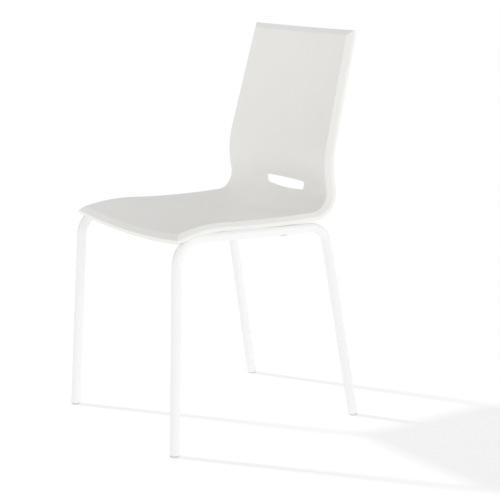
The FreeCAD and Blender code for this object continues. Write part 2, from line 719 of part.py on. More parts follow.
def make_glide(name, end, side):
    """Moulded foot: a plug in the tube and a head whose sole lies flat on the floor."""
    corner, foot = (FRAME_CORNERS[1], FRAME_CORNERS[0]) if end == "front" else FRAME_CORNERS[2:4]
    floor_point = frame_point(side, *foot)
    rise = (frame_point(side, *corner) - floor_point).normalize()
    below = floor_point - rise * size["glide_height"]
    head = cylinder(f"{name}_head", "Sizes.tube_diameter / 2 - Sizes.glide_head_inset",
                    "2 * Sizes.glide_height", below, rise)
    plug = cylinder(f"{name}_plug", "Sizes.tube_diameter / 2 - Sizes.tube_wall - Sizes.glide_plug_gap",
                    "Sizes.glide_height + Sizes.glide_plug_length", floor_point, rise)
    floor = doc.addObject("Part::Box", f"{name}_floor")
    floor.setExpression("Length", "Sizes.sole_cut")
    floor.setExpression("Width", "Sizes.sole_cut")
    floor.setExpression("Height", "Sizes.sole_cut")
    half = size["sole_cut"] / 2
    floor.Placement.Base = V(floor_point.x - half, floor_point.y - half, -size["sole_cut"])
    return keep(name, cut(f"{name}_solid", fuse(f"{name}_blank", [head, plug]), floor))


def make_buffer(name, side):
    """Saddle pad under the rail, held by a stem through the tube's wall."""
    centre = rail_point(side, size["buffer_y"])
    along = rail_direction(side)
    across = Z_AXIS.cross(along).normalize()
    up = along.cross(across)
    turned = FreeCAD.Rotation(along, across, up, "XYZ")
    drop = size["tube_diameter"] / 2 + size["buffer_proud"]
    pad = doc.addObject("Part::Box", f"{name}_pad")
    pad.setExpression("Length", "Sizes.buffer_length")
    pad.setExpression("Width", "Sizes.buffer_width")
    pad.setExpression("Height", "Sizes.buffer_proud + Sizes.buffer_wrap")
    low = centre - along * (size["buffer_length"] / 2) - across * (size["buffer_width"] / 2) - up * drop
    pad.Placement = FreeCAD.Placement(low, turned)
    saddle = cut(f"{name}_saddle", pad, rail_cope(f"{name}_rail", side))
    lean_up = frame_placement(side).Rotation.multVec(Z_AXIS)
    stem_base = centre - lean_up * (size["tube_diameter"] / 2 + size["stem_overlap"])
    stem = cylinder(f"{name}_stem", "Sizes.buffer_stem / 2", "Sizes.buffer_stem_length + Sizes.stem_overlap",
                    stem_base, lean_up)
    return keep(name, fuse(f"{name}_solid", [saddle, stem]))


# ---------------------------------------------------------------- assembly and export

make_shell()
for side_name, side in SIDES.items():
    make_leg_frame(f"{side_name}_leg_frame", side)
    make_buffer(f"{side_name}_stacking_buffer", side)
for end in ("front", "rear"):
    make_cross_tube(f"{end}_cross_tube", end)
    for side_name, side in SIDES.items():
        make_tab(f"{end}_{side_name}_mounting_tab", end, side)
        make_glide(f"{end}_{side_name}_glide", end, side)
keep_group("shell_screws", [make_screw(place, spot) for place, spot in screw_places()])
keep_group("screw_washers", [make_washer(place, spot) for place, spot in screw_places()])
keep_group("threaded_inserts", [make_insert(place, spot) for place, spot in screw_places()])

doc.recompute()
for feature in doc.Objects:
    if "Invalid" in feature.State or "Error" in feature.State:
        raise RuntimeError(f"{feature.Name} failed: {feature.getStatusString()}")
os.makedirs("parts", exist_ok=True)
for name, part in parts.items():
    if part.Shape.isNull() or not part.Shape.isValid():
        raise RuntimeError(f"{name} is not a valid shape")
    part.Shape.exportStep(f"parts/{name}.step")
    print(name, len(part.Shape.Solids), round(part.Shape.Volume))
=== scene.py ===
import json
import math

import bmesh
import bpy
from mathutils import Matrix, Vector


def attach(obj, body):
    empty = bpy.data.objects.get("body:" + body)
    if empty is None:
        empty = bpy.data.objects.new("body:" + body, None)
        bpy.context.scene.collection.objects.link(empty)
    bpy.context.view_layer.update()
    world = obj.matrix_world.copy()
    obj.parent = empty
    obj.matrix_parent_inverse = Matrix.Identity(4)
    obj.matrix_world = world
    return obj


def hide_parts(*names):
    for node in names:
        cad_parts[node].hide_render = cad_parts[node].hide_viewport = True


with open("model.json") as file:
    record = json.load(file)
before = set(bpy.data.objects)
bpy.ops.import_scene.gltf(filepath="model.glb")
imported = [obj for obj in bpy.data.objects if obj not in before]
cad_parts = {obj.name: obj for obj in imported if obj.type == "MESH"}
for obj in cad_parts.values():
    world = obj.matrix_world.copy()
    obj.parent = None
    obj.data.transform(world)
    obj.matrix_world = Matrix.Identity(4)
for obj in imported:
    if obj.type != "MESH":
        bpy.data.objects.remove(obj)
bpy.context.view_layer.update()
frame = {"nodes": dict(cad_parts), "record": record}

# Stacking chair: a moulded seat and back shell on welded side frames of bent round tube.
# Everything is worked out in millimetres and stored in metres.
MM = 0.001
X_AXIS, Y_AXIS, Z_AXIS = Vector((1, 0, 0)), Vector((0, 1, 0)), Vector((0, 0, 1))
SIDES = {"left": 1, "right": -1}
scene = bpy.context.scene


# ---------------------------------------------------------------- camera, light and floor

CAMERA_PLACE = (2.6706, -1.7173, 1.0213)
CAMERA_HEADING = (-0.81023, 0.54923, -0.20463)
CAMERA_LENS = 108.98

camera = bpy.data.objects.new("camera", bpy.data.cameras.new("camera"))
camera.data.lens = CAMERA_LENS
camera.data.clip_end = 300
camera.location = CAMERA_PLACE
camera.rotation_euler = Vector(CAMERA_HEADING).to_track_quat("-Z", "Y").to_euler()
scene.collection.objects.link(camera)
scene.camera = camera
scene.view_settings.view_transform = "Standard"

SUN_AZIMUTH, SUN_ELEVATION = 36.2, 34.0
SUN_STRENGTH, SUN_SPREAD = 3.4, math.radians(3.5)
SKY_BASE = 0.60
# soft panels round the chair: azimuth from +X towards +Y, elevation, strength
PANELS = [(280, 12, 0.62), (40, 5, 1.20), (195, 5, -0.36), (300, 80, 0.16)]
PANEL_TIGHTNESS = 6.0
# the floor glows evenly, so that the chair dims it only a little
FLOOR_GLOW, FLOOR_COLOUR = 0.738, 0.20


def heading(azimuth, elevation):
    """Unit vector towards an azimuth and elevation in degrees."""
    turn, lift = math.radians(azimuth), math.radians(elevation)
    return Vector((math.cos(turn) * math.cos(lift), math.sin(turn) * math.cos(lift), math.sin(lift)))


sun = bpy.data.objects.new("sun", bpy.data.lights.new("sun", "SUN"))
sun.data.energy = SUN_STRENGTH
sun.data.angle = SUN_SPREAD
sun.rotation_euler = heading(SUN_AZIMUTH, -SUN_ELEVATION).to_track_quat("-Z", "Y").to_euler()
scene.collection.objects.link(sun)
sunlit = bpy.data.collections.new("sunlit")
sun.light_linking.receiver_collection = sunlit


def nodes_of(owner):
    """Empty node tree of a material or a world, with its output."""
    owner.use_nodes = True
    tree = owner.node_tree
    tree.nodes.clear()
    kind = "ShaderNodeOutputWorld" if isinstance(owner, bpy.types.World) else "ShaderNodeOutputMaterial"
    return tree, tree.nodes.new(kind)


def node(tree, kind, inputs=None, **settings):
    """New node with its settings and inputs: an input is a value or another node's socket."""
    made = tree.nodes.new("ShaderNode" + kind)
    for name, value in settings.items():
        setattr(made, name, value)
    for name, value in (inputs or {}).items():
        if isinstance(value, bpy.types.NodeSocket):
            tree.links.new(value, made.inputs[name])
        else:
            made.inputs[name].default_value = value
    return made


def studio_world():
    """Even soft light with a few wide panels."""
    world = bpy.data.worlds.new("studio")
    tree, output = nodes_of(world)
    place = node(tree, "TexCoord")
    total = node(tree, "Value").outputs["Value"]
    total.default_value = SKY_BASE
    for azimuth, elevation, strength in PANELS:
        towards = node(tree, "VectorMath", operation="DOT_PRODUCT")
        tree.links.new(place.outputs["Generated"], towards.inputs[0])
        towards.inputs[1].default_value = heading(azimuth, elevation)
        fall = node(tree, "Math", operation="MULTIPLY_ADD")
        tree.links.new(towards.outputs["Value"], fall.inputs[0])
        fall.inputs[1].default_value = PANEL_TIGHTNESS
        fall.inputs[2].default_value = -PANEL_TIGHTNESS
        glow = node(tree, "Math", operation="EXPONENT")
        tree.links.new(fall.outputs["Value"], glow.inputs[0])
        added = node(tree, "Math", operation="MULTIPLY_ADD")
        tree.links.new(glow.outputs["Value"], added.inputs[0])
        added.inputs[1].default_value = strength
        tree.links.new(total, added.inputs[2])
        total = added.outputs["Value"]
    light = node(tree, "Background", {"Color": (1, 1, 1, 1), "Strength": total})
    tree.links.new(light.outputs["Background"], output.inputs["Surface"])
    scene.world = world


studio_world()


# ---------------------------------------------------------------- materials

GLOSS_SPREAD = 0.05   # how far the roughness strays from its middle


def surface(name, colour, roughness, grain, relief, tint=0.02, metallic=0.0, mottle=14.0):
    """Finish with slow colour variation, uneven gloss and a fine raised grain (sizes in metres)."""
    material = bpy.data.materials.new(name)
    tree, output = nodes_of(material)
    place = node(tree, "TexCoord")
    slow = node(tree, "TexNoise", {"Vector": place.outputs["Object"], "Scale": mottle, "Detail": 3.0})
    darker = tuple(c * (1 - tint) for c in colour) + (1,)
    lighter = tuple(min(1.0, c * (1 + tint)) for c in colour) + (1,)
    blend = node(tree, "Mix", data_type="RGBA")
    tree.links.new(slow.outputs["Fac"], blend.inputs["Factor"])
    blend.inputs["A"].default_value = darker
    blend.inputs["B"].default_value = lighter
    fine = node(tree, "TexNoise", {"Vector": place.outputs["Object"], "Scale": 1 / grain, "Detail": 2.0})
    gloss = node(tree, "MapRange", {"Value": fine.outputs["Fac"], "From Min": 0.3, "From Max": 0.7,
                                    "To Min": roughness - GLOSS_SPREAD,
                                    "To Max": roughness + GLOSS_SPREAD})
    bump = node(tree, "Bump", {"Height": fine.outputs["Fac"], "Distance": relief, "Strength": 1.0})
    shader = node(tree, "BsdfPrincipled", {"Base Color": blend.outputs["Result"],
                                           "Roughness": gloss.outputs["Result"],
                                           "Normal": bump.outputs["Normal"], "Metallic": metallic})
    tree.links.new(shader.outputs["BSDF"], output.inputs["Surface"])
    return material


# one finish for each material slot of the record
FINISHES = {
    "shell_plastic": surface("shell_plastic", (0.92, 0.912, 0.885), 0.42, 0.0006, 0.00002),
    "frame_paint": surface("frame_paint", (0.95, 0.95, 0.945), 0.36, 0.0011, 0.000015, tint=0.01),
    "zinc_steel": surface("zinc_steel", (0.62, 0.63, 0.65), 0.32, 0.0004, 0.000008,
                          metallic=1.0, mottle=180.0),
    "brass": surface("brass", (0.72, 0.55, 0.26), 0.35, 0.0004, 0.000008, metallic=1.0, mottle=180.0),
    "glide_nylon": surface("glide_nylon", (0.70, 0.70, 0.69), 0.5, 0.0005, 0.00001),
    "buffer_plastic": surface("buffer_plastic", (0.78, 0.78, 0.77), 0.6, 0.0005, 0.00001),
}


# ---------------------------------------------------------------- mesh tools

BEVEL_LAYER = "bevel_weight_edge"


def mark(bm, loop, weight=1.0, closed=True):
    """Mark the edges along a row of vertices, to be rounded; a smaller weight rounds them less."""
    layer = bm.edges.layers.float.get(BEVEL_LAYER) or bm.edges.layers.float.new(BEVEL_LAYER)
    ends = zip(loop, loop[1:] + loop[:1]) if closed else zip(loop, loop[1:])
    for a, b in ends:
        edge = bm.edges.get((a, b))
        if edge is None:
            edge = bm.edges.new((a, b))
        edge[layer] = weight


def strip(bm, first, second, closed=True):
    """Quads between two rows of vertices."""
    count = len(first) if closed else len(first) - 1
    for i in range(count):
        k = (i + 1) % len(first)
        bm.faces.new((first[i], first[k], second[k], second[i]))


def ring(bm, centre, first, second, radius, count):
    """Circle of vertices in the plane of two directions at right angles."""
    return [bm.verts.new(centre + (first * math.cos(a) + second * math.sin(a)) * radius)
            for a in (math.tau * k / count for k in range(count))]


def cap(bm, loop, centre):
    """Fan that closes a ring."""
    middle = bm.verts.new(centre)
    for a, b in zip(loop, loop[1:] + loop[:1]):
        bm.faces.new((a, b, middle))


def piece_of(bm, name, nodes, slot, rounding=None, segments=3):
    """Finish a mesh made in millimetres as a piece that stands for CAD nodes."""
    bmesh.ops.recalc_face_normals(bm, faces=bm.faces)
    bmesh.ops.scale(bm, vec=(MM, MM, MM), verts=bm.verts)
    mesh = bpy.data.meshes.new(name)
    bm.to_mesh(mesh)
    bm.free()
    mesh.shade_smooth()
    piece = bpy.data.objects.new(name, mesh)
    scene.collection.objects.link(piece)
    mesh.materials.append(FINISHES[slot])
    if rounding:
        bevel = piece.modifiers.new("rounding", "BEVEL")
        bevel.width = rounding * MM
        bevel.segments = segments
        bevel.limit_method = "WEIGHT"
        bevel.use_clamp_overlap = False
        bevel.harden_normals = True
    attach(piece, "root")
    if nodes:
        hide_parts(*nodes)
    return piece


AROUND = 48   # vertices round a tube or a turned piece


def lathe(bm, base, axis, profile, closed=True, side=None, count=AROUND):
    """Turned skin through rows of (radius, height along the axis). Radius 0 is a point on the axis.
    A closed skin also joins its last row to its first."""
    side = side or axis.orthogonal().normalized()
    across = axis.cross(side)
    rows = []
    for radius, height in profile:
        at = base + axis * height
        rows.append(ring(bm, at, side, across, radius, count) if radius else at)
    for lower, upper in zip(rows, rows[1:] + (rows[:1] if closed else [])):
        lower_is_point, upper_is_point = isinstance(lower, Vector), isinstance(upper, Vector)
        if lower_is_point and not upper_is_point:
            cap(bm, upper, lower)
        elif upper_is_point and not lower_is_point:
            cap(bm, lower, upper)
        elif not lower_is_point:
            strip(bm, lower, upper)
    return rows


# ---------------------------------------------------------------- shell: the same lines as the CAD

CREASE_FRONT_Y, CREASE_FRONT_Z = -206.0, 446.5
HEADINGS = [math.radians(a) for a in (13.8, -3.7, 2.3, 102.8, 75.6)]
RADII = [376, 2110, 37.4, 205]
BACK_LENGTH = 227
HALF_WIDTH, FRONT_FLARE, FLARE_LENGTH, TOP_NARROWING = 179.5, 11.5, 200, 13
SEAT_HOLLOW, BEND_HOLLOW, TOP_HOLLOW, HOLLOW_RUN = 12, 25, 7, 150
SKIN, BEVEL_WIDTH, BEVEL_DEPTH, EDGE_DEPTH, EDGE_BULGE = 5, 12.3, 7.4, 16, 1.2
LIP, END_LIP, LIP_INSET = 5, 9, 1.4
SLOT_TOP_HALF, SLOT_BOTTOM_HALF = 70.5, 66.5
SLOT_BOTTOM, SLOT_TOP, SLOT_SAG, SLOT_CORNER = 481, 498.5, 5, 4
DEEPEST_SHARE = 0.85   # how far round the bend the hollow is deepest
SHELL_ROUNDING = 1.3


def crease_segments():
    """(distance, length, y, z, heading, radius) at the start of each arc and of the straight back."""
    y, z, distance = CREASE_FRONT_Y, CREASE_FRONT_Z, 0.0
    segments = []
    for radius, start, end in zip(RADII, HEADINGS, HEADINGS[1:]):
        radius = math.copysign(radius, end - start)
        length = radius * (end - start)
        segments.append((distance, length, y, z, start, radius))
        y += radius * (math.sin(end) - math.sin(start))
        z -= radius * (math.cos(end) - math.cos(start))
        distance += length
    segments.append((distance, BACK_LENGTH, y, z, HEADINGS[-1], None))
    return segments


SEGMENTS = crease_segments()
CREASE_LENGTH = SEGMENTS[-1][0] + SEGMENTS[-1][1]
BEND_MIDDLE = SEGMENTS[2][0] + DEEPEST_SHARE * SEGMENTS[2][1]
LUMBAR_MIDDLE = SEGMENTS[3][0] + SEGMENTS[3][1] / 2


def crease_at(distance):
    """Point and depth direction of the crease line; both ends run on straight."""
    start, _, y, z, angle, radius = SEGMENTS[0]
    if distance > 0:
        start, _, y, z, angle, radius = [s for s in SEGMENTS if s[0] <= distance][-1]
    along = distance - start
    if radius is None or distance < 0:
        y += along * math.cos(angle)
        z += along * math.sin(angle)
    else:
        end = angle + along / radius
        y += radius * (math.sin(end) - math.sin(angle))
        z -= radius * (math.cos(end) - math.cos(angle))
        angle = end
    return Vector((0, y, z)), Vector((0, math.sin(angle), -math.cos(angle)))


def half_width(distance):
    """Half width between the crease lines: flared at the front, narrowed towards the top."""
    flare = max(0.0, 1 - distance / FLARE_LENGTH) ** 2
    narrowing = max(0.0, (distance - LUMBAR_MIDDLE) / (CREASE_LENGTH - LUMBAR_MIDDLE))
    return HALF_WIDTH + FRONT_FLARE * flare - TOP_NARROWING * narrowing


def hollow(distance):
    """Depth of the hollow across the shell, deepest in the bend."""
    if distance < BEND_MIDDLE:
        t = min(max((distance - BEND_MIDDLE + HOLLOW_RUN) / HOLLOW_RUN, 0.0), 1.0)
        share = t * t * (3 - 2 * t)
        return SEAT_HOLLOW * (1 - share) + BEND_HOLLOW * share
    t = (distance - BEND_MIDDLE) / (CREASE_LENGTH - BEND_MIDDLE)
    return BEND_HOLLOW * (1 - t) + TOP_HOLLOW * t


def arc_depth(x, half, deep, skin=0.0):
    """Depth of the hollow arc across the shell at x, or of the arc that lies a skin behind it."""
    radius = (half ** 2 + deep ** 2) / (2 * deep)
    return math.sqrt((radius + skin) ** 2 - x ** 2) - radius + deep


def shell_point(distance, x, depth):
    """Point at a distance along the crease, x from the middle and a depth behind the crease."""
    origin, inward = crease_at(distance)
    return origin + X_AXIS * x + inward * depth


def face_point(x, distance, skin=0.0):
    """Point of the shell's face, or of its skin's back."""
    return shell_point(distance, x, arc_depth(x, half_width(distance), hollow(distance), skin))


COLUMNS = 56
ROW_COUNTS = [14, 26, 22, 20, 30]   # rows of the grid along each segment of the crease
ROWS = [start + length * step / count
        for (start, length, *_), count in zip(SEGMENTS, ROW_COUNTS) for step in range(count)]
ROWS.append(CREASE_LENGTH)
LAST_ROW = len(ROWS) - 1
SHARES = [2 * i / COLUMNS - 1 for i in range(COLUMNS + 1)]


def grid_place(i, j, skin):
    """(x, distance) of a grid point on the face, or on the skin's back, which ends inside the edge."""
    inset = LIP_INSET if skin else 0.0
    distance = min(max(ROWS[j], inset), CREASE_LENGTH - inset)
    return SHARES[i] * (half_width(distance) - inset), distance


def rounded_corner(before, corner, after, radius, steps):
    """Points of the arc that rounds a corner."""
    before, corner, after = Vector(before), Vector(corner), Vector(after)
    back, on = (before - corner).normalized(), (after - corner).normalized()
    half_angle = back.angle(on) / 2
    reach = radius / math.tan(half_angle)
    centre = corner + (back + on).normalized() * (radius / math.sin(half_angle))
    first, last = corner + back * reach - centre, corner + on * reach - centre
    turn = first.angle(last)
    return [centre + (first * math.sin(turn * (1 - t)) + last * math.sin(turn * t)) / math.sin(turn)
            for t in (k / steps for k in range(steps + 1))]


def slot_outline(wide, high):
    """Points (x, z) round the slot, wide along its bottom and top and high up its ends."""
    dip = SLOT_BOTTOM - SLOT_SAG
    half_bend = 3
    low_corner, top_corner = (SLOT_BOTTOM_HALF, SLOT_BOTTOM), (SLOT_TOP_HALF, SLOT_TOP)
    # a parabola's tangent at its end meets the middle twice as deep as the curve
    low = rounded_corner((0, dip - SLOT_SAG), low_corner, top_corner, SLOT_CORNER, 2 * half_bend)
    top = rounded_corner(low_corner, top_corner, (0, SLOT_TOP), SLOT_CORNER, 2 * half_bend)
    bends = [low, top] + [[Vector((-p.x, p.y)) for p in reversed(bend)] for bend in (top, low)]
    bottom = 3   # the last of the four sides, which sags
    points = []
    for number, steps in enumerate((high, wide, high, wide)):
        bend, following = bends[number], bends[(number + 1) % 4]
        points += bend[half_bend:]
        straight = steps - 2 * half_bend
        for k in range(1, straight):
            p = bend[-1].lerp(following[0], k / straight)
            if number == bottom:
                sag = bend[-1].y - dip
                p.y -= sag * (1 - (p.x / bend[-1].x) ** 2)
            points.append(p)
        points += following[:half_bend]
    turn = 2 * high + wide
    return points[turn:] + points[:turn]


def distance_on_face(x, z, skin):
    """Distance along the crease at which the face, or the skin's back, has this x and height."""
    low, high = SEGMENTS[2][0] + SEGMENTS[2][1] / 2, CREASE_LENGTH
    halvings = 50
    for _ in range(halvings):
        middle = (low + high) / 2
        if face_point(x, middle, skin).z < z:
            low = middle
        else:
            high = middle
    return low


def slot_block():
    """Grid columns and rows round the slot, which its rings fill."""
    margin = 11
    rough_wide, rough_high = 40, 12
    outline = slot_outline(rough_wide, rough_high)
    places = [distance_on_face(p.x, p.y, skin) for p in outline for skin in (0.0, SKIN)]
    left = max(i for i, share in enumerate(SHARES) if share * HALF_WIDTH < -SLOT_TOP_HALF - margin)
    low = max(j for j, distance in enumerate(ROWS) if distance < min(places) - margin)
    high = min(j for j, distance in enumerate(ROWS) if distance > max(places) + margin)
    return left, COLUMNS - left, low, high


def make_face(bm, skin, block):
    """Grid of the face or of the skin's back, with rings that close in on the slot."""
    left, right, low, high = block
    points = {}
    for j in range(LAST_ROW + 1):
        for i in range(COLUMNS + 1):
            if not (left < i < right and low < j < high):
                points[i, j] = bm.verts.new(face_point(*grid_place(i, j, skin), skin))
    for j in range(LAST_ROW):
        for i in range(COLUMNS):
            if left <= i < right and low <= j < high:
                continue
            bm.faces.new([points[c] for c in ((i, j), (i + 1, j), (i + 1, j + 1), (i, j + 1))])
    edge = ([(i, low) for i in range(left, right)] + [(right, j) for j in range(low, high)]
            + [(i, high) for i in range(right, left, -1)] + [(left, j) for j in range(high, low, -1)])
    outline = slot_outline(right - left, high - low)
    starts = [grid_place(*c, skin) for c in edge]
    ends = [(p.x, distance_on_face(p.x, p.y, skin)) for p in outline]
    row = [points[c] for c in edge]
    for share in (0.3, 0.55, 0.76, 0.9, 1.0):
        following = []
        for (x0, d0), (x1, d1) in zip(starts, ends):
            x, distance = x0 + (x1 - x0) * share, d0 + (d1 - d0) * share
            following.append(bm.verts.new(face_point(x, distance, skin)))
        strip(bm, row, following)
        row = following
    return points, row


UNDER_CLEARANCE = 0.15   # from the skin's back to the row where the lip's inner side ends


def edge_profile():
    """Rows from the face's crease round the edge to the skin's back: outward at the sides and
    at the ends, depth, and how far outside the crease the row's arc across the shell ends."""
    middle, half = (BEVEL_DEPTH + EDGE_DEPTH) / 2, (EDGE_DEPTH - BEVEL_DEPTH) / 2
    inner, end_inner = BEVEL_WIDTH - LIP, BEVEL_WIDTH - END_LIP
    under = SKIN + UNDER_CLEARANCE + (inner + LIP_INSET) * BEVEL_DEPTH / BEVEL_WIDTH
    bevel = [(BEVEL_WIDTH * t, BEVEL_WIDTH * t, BEVEL_DEPTH * t, BEVEL_WIDTH * t)
             for t in (0.25, 0.5, 0.75)]
    crown = [(BEVEL_WIDTH + EDGE_BULGE * (1 - t * t), BEVEL_WIDTH, middle + half * t, BEVEL_WIDTH)
             for t in (-1.0, -0.5, 0.0, 0.5, 1.0)]
    rim = [(BEVEL_WIDTH - LIP / 2, BEVEL_WIDTH - END_LIP / 2, EDGE_DEPTH, BEVEL_WIDTH)]
    rise = [(inner, end_inner, EDGE_DEPTH + (under - EDGE_DEPTH) * t,
             BEVEL_WIDTH + (inner - BEVEL_WIDTH) * t) for t in (0.0, 0.5, 1.0)]
    return bevel + crown + rim + rise


# how much each sharp row of the edge is rounded: both ends of the crown, both ends of the rise
FULL, SOFT = 1.0, 0.6
SHARP_ROWS = {3: FULL, 7: FULL, 9: SOFT, 11: SOFT}


def edge_point(i, j, row):
    """Point of one edge row, outside the rim's grid place (i, j)."""
    side_out, end_out, depth, arc_out = row
    distance = ROWS[j]
    if j == 0:
        distance -= end_out
    if j == LAST_ROW:
        distance += end_out
    x = SHARES[i] * (half_width(distance) + side_out)
    return shell_point(distance, x, depth + arc_depth(x, half_width(distance) + arc_out, hollow(distance)))


def make_shell():
    """Moulded seat and back: face, bevel, crowned edge, turned-back lip, skin's back and slot."""
    bm = bmesh.new()
    block = slot_block()
    face, slot_front = make_face(bm, 0.0, block)
    back, slot_back = make_face(bm, SKIN, block)
    rim = ([(i, 0) for i in range(COLUMNS)] + [(COLUMNS, j) for j in range(LAST_ROW)]
           + [(i, LAST_ROW) for i in range(COLUMNS, 0, -1)] + [(0, j) for j in range(LAST_ROW, 0, -1)])
    rows = [[face[c] for c in rim]]
    for row in edge_profile():
        rows.append([bm.verts.new(edge_point(i, j, row)) for i, j in rim])
    rows.append([back[c] for c in rim])
    for first, second in zip(rows, rows[1:]):
        strip(bm, first, second)
    wall = [bm.verts.new((a.co + b.co) / 2) for a, b in zip(slot_front, slot_back)]
    strip(bm, slot_front, wall)
    strip(bm, wall, slot_back)
    mark(bm, rows[0])
    for row, weight in SHARP_ROWS.items():
        mark(bm, rows[row + 1], weight)
    mark(bm, rows[-1], SOFT)
    mark(bm, slot_front)
    mark(bm, slot_back)
    for corner in (0, COLUMNS, COLUMNS + LAST_ROW, 2 * COLUMNS + LAST_ROW):
        mark(bm, [row[corner] for row in rows], closed=False)
    return bm


piece_of(make_shell(), "shell", ["seat_shell"], "shell_plastic", rounding=SHELL_ROUNDING)


# ---------------------------------------------------------------- side frames: one bent tube each

TUBE, TUBE_WALL = 10.0, 2.0   # radius and wall
FRONT_FOOT_X, REAR_FOOT_X, FOOT_HALF_SPACING, FRAME_LEAN = 210.9, 194.5, 231.2, math.radians(2.01)
FLOOR_SPACING = math.hypot(REAR_FOOT_X - FRONT_FOOT_X, 2 * FOOT_HALF_SPACING)
FRAME_CORNERS = [(0.0, 0.0), (20.0, 435.0), (388.2, 422.0), (FLOOR_SPACING, 0.0)]
FRONT_BEND, REAR_BEND, GLIDE_HEIGHT = 52, 46, 4
TUBE_END_ROUNDING = 0.3


def frame_axes(side):
    """Front foot, run direction and height direction of one leaning side frame."""
    back = Vector((side * (REAR_FOOT_X - FRONT_FOOT_X), 2 * FOOT_HALF_SPACING, 0)).normalized()
    up = Vector((-side * math.sin(FRAME_LEAN), 0, math.cos(FRAME_LEAN)))
    up = (up - back * up.dot(back)).normalized()
    return Vector((side * FRONT_FOOT_X, -FOOT_HALF_SPACING, 0)), back, up


def frame_point(side, corner):
    """Point of a side frame given by its run and its height in the frame's plane."""
    origin, back, up = frame_axes(side)
    return origin + back * corner[0] + up * corner[1]


def rail_direction(side):
    """Unit vector along a rail, from the front to the rear."""
    return (frame_point(side, FRAME_CORNERS[2]) - frame_point(side, FRAME_CORNERS[1])).normalized()


def rail_point(side, y):
    """Point of the rail's axis at this y."""
    start, direction = frame_point(side, FRAME_CORNERS[1]), rail_direction(side)
    return start + direction * ((y - start.y) / direction.y)


def glide_seat(corner, foot):
    """End of the tube above its glide, in the plane of the frame."""
    rise = (Vector(corner) - Vector(foot)).normalized()
    return Vector(foot) + rise * GLIDE_HEIGHT


def frame_line():
    """Centreline of a side frame in its own plane: (run, height) and tangent at every ring."""
    front_foot, front, rear, rear_foot = FRAME_CORNERS
    start, end = glide_seat(front, front_foot), glide_seat(rear, rear_foot)
    bend_steps, leg_steps, rail_steps = 28, 10, 24
    first = rounded_corner(start, front, rear, FRONT_BEND, bend_steps)
    second = rounded_corner(front, rear, end, REAR_BEND, bend_steps)
    line = [start.lerp(first[0], k / leg_steps) for k in range(leg_steps)] + first
    line += [first[-1].lerp(second[0], k / rail_steps) for k in range(1, rail_steps)]
    line += second + [second[-1].lerp(end, k / leg_steps) for k in range(1, leg_steps + 1)]
    tangents = [(line[min(k + 1, len(line) - 1)] - line[max(k - 1, 0)]).normalized()
                for k in range(len(line))]
    tangents[0] = (Vector(front) - Vector(front_foot)).normalized()
    tangents[-1] = (Vector(rear_foot) - Vector(rear)).normalized()
    return list(zip(line, tangents))


def make_leg_frame(side):
    """Front leg, rail and rear leg swept along the centreline, open at both ends."""
    bm = bmesh.new()
    origin, back, up = frame_axes(side)
    across = back.cross(up)
    walls = []
    for radius in (TUBE, TUBE - TUBE_WALL):
        rings = []
        for point, tangent in frame_line():
            centre = origin + back * point.x + up * point.y
            outward = back * tangent.y - up * tangent.x
            rings.append(ring(bm, centre, outward, across, radius, AROUND))
        for first, second in zip(rings, rings[1:]):
            strip(bm, first, second)
        walls.append(rings)
    for end in (0, -1):
        strip(bm, walls[0][end], walls[1][end])
        for wall in walls:
            mark(bm, wall[end])
    return bm


# ---------------------------------------------------------------- cross tubes and their welds

CROSS, CROSS_WALL = 7.0, 1.5   # radius and wall
CROSS_PLACES = {"front": (-122.0, 0.8), "rear": (75.0, 1.0)}   # y, and drop below the rail's axis
CROSS_WELD, TAB_WELD = 1.8, 1.3   # radius of the beads
WELD_RIPPLE, RIPPLE_PITCH = 0.16, 2.1


def to_rail(start, side):
    """Distance outward from a point to the surface of one rail, or to where it passes nearest."""
    outward, axis = X_AXIS * side, rail_direction(side)
    offset = start - rail_point(side, 0.0)
    offset -= axis * offset.dot(axis)
    slope = outward - axis * outward.dot(axis)
    a, b, c = slope.dot(slope), offset.dot(slope), offset.dot(offset) - TUBE ** 2
    return (-b - math.sqrt(max(0.0, b * b - a * c))) / a


def on_rail(start, side):
    """Point where the outward line from a point meets the rail."""
    return start + X_AXIS * (side * to_rail(start, side))


def cross_axis(end):
    """Middle of a cross tube's axis."""
    y, drop = CROSS_PLACES[end]
    return Vector((0, y, rail_point(1, y).z - drop))


def make_cross_tube(end):
    """Tube with both ends coped to fit round the rails."""
    bm = bmesh.new()
    middle = cross_axis(end)
    spans = 26
    walls = []
    for radius in (CROSS, CROSS - CROSS_WALL):
        rings = [[] for _ in range(spans + 1)]
        for k in range(AROUND):
            a = math.tau * k / AROUND
            start = middle + Y_AXIS * (radius * math.cos(a)) + Z_AXIS * (radius * math.sin(a))
            right, left = to_rail(start, -1), to_rail(start, 1)
            for number, row in enumerate(rings):
                row.append(bm.verts.new(start + X_AXIS * (-right + (left + right) * number / spans)))
        for first, second in zip(rings, rings[1:]):
            strip(bm, first, second)
        walls.append(rings)
    for last in (0, -1):
        strip(bm, walls[0][last], walls[1][last])
    return bm


